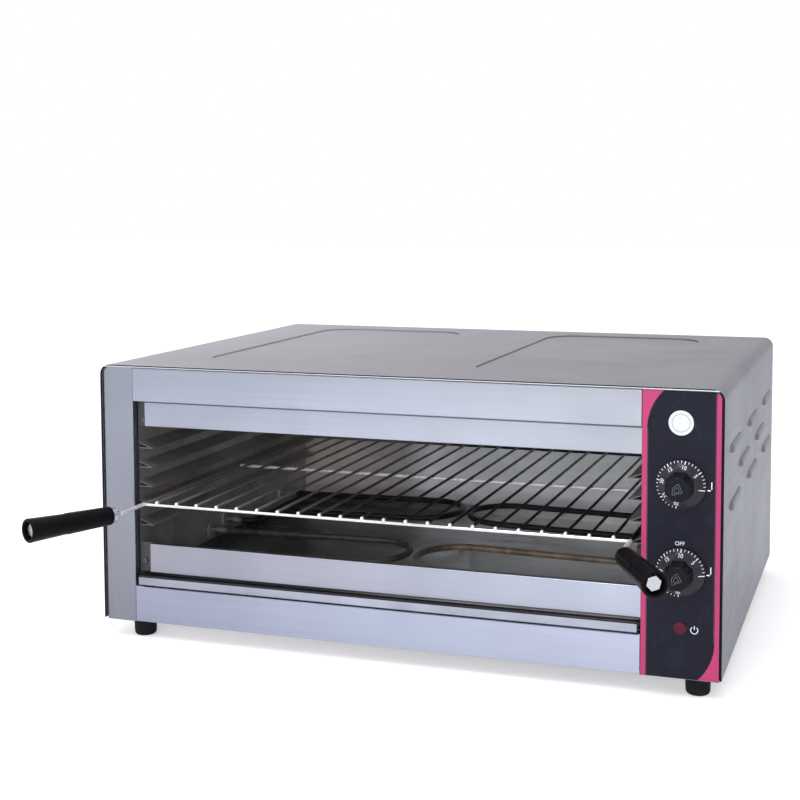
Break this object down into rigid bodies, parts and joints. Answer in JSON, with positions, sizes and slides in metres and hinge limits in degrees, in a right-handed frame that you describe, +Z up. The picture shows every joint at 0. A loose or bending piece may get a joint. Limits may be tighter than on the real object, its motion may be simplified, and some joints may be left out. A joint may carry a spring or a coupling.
{
  "type": "cheese melter",
  "caption": "Wide open-fronted steel grill box with heating rods above and below a sliding wire rack with two black handles, a crumb tray and two timer dials, for melting cheese on food.",
  "frame": {"origin": "bottom centre of the whole machine's box with the rack pushed in, on the worktop", "axes": "+X towards the control panel's side (the user's right), +Y from the open front towards the back, +Z up"},
  "size_m": [0.8132, 0.7912, 0.3595],
  "materials": {
    "casing_steel": "satin, fine vertical grain",
    "cavity_steel": "mill finish, slightly darkened by heat",
    "rod_steel": "dark oxidised sheath",
    "rack_wire": "bright drawn wire",
    "fixings": "zinc plated",
    "black_plastic": "gloss",
    "timer_plastic": "matt",
    "control_film": "satin, dark blue-grey with pink stripes",
    "label_film": "satin",
    "red_lens": "gloss, dark red",
    "foot_rubber": "matt"
  },
  "bodies": {
    "casing": {"base_pan": "casing_steel", "bottom_front_panel": "casing_steel", "casing_wrap": "casing_steel", "cavity_ceiling": "cavity_steel", "cavity_rear_wall": "cavity_steel", "control_overlay": "control_film", "control_panel": "casing_steel", "cord_gland": "black_plastic", "feet": "foot_rubber", "foot_screws": "fixings", "header_panel": "casing_steel", "heat_shield": "casing_steel", "hood_panel": "casing_steel", "lamp_body": "black_plastic", "lamp_lens": "red_lens", "left_cavity_wall": "cavity_steel", "left_element_bushes": "cavity_steel", "left_front_post": "casing_steel", "left_rack_runners": "cavity_steel", "left_terminals": "fixings", "left_tray_runner": "cavity_steel", "lower_front_panel": "casing_steel", "lower_left_elements": "rod_steel", "lower_right_elements": "rod_steel", "lower_timer": "timer_plastic", "rear_panel": "casing_steel", "rear_screws": "fixings", "right_cavity_wall": "cavity_steel", "right_element_bushes": "cavity_steel", "right_rack_runners": "cavity_steel", "right_terminals": "fixings", "right_tray_runner": "cavity_steel", "round_label": "label_film", "tab_screws": "fixings", "terminal_block": "timer_plastic", "upper_element_hangers": "cavity_steel", "upper_left_elements": "rod_steel", "upper_right_elements": "rod_steel", "upper_timer": "timer_plastic"},
    "rack": {"rack_grid": "rack_wire", "left_handle_arm": "rack_wire", "left_handle_bolt": "fixings", "left_handle_washer": "fixings", "left_grip": "black_plastic", "right_handle_arm": "rack_wire", "right_handle_bolt": "fixings", "right_handle_washer": "fixings", "right_grip": "black_plastic"},
    "crumb_drawer": {"crumb_tray": "cavity_steel"},
    "upper_knob": {"upper_knob_skirt": "black_plastic", "upper_knob_cap": "black_plastic", "upper_knob_shaft": "fixings"},
    "lower_knob": {"lower_knob_skirt": "black_plastic", "lower_knob_cap": "black_plastic", "lower_knob_shaft": "fixings"}
  },
  "joints": [
    {"name": "rack_slide", "type": "slide", "parent": "casing", "child": "rack", "axis": [0, -1, 0], "range_m": [0, 0.38]},
    {"name": "crumb_tray_slide", "type": "slide", "parent": "casing", "child": "crumb_drawer", "axis": [0, -1, 0], "range_m": [0, 0.4]},
    {"name": "upper_knob_turn", "type": "hinge", "parent": "casing", "child": "upper_knob", "pos_m": [0.35465, -0.2166, 0.2495], "axis": [0, 1, 0], "range_deg": [0, 270]},
    {"name": "lower_knob_turn", "type": "hinge", "parent": "casing", "child": "lower_knob", "pos_m": [0.35465, -0.2166, 0.148], "axis": [0, 1, 0], "range_deg": [0, 270]}
  ]
}
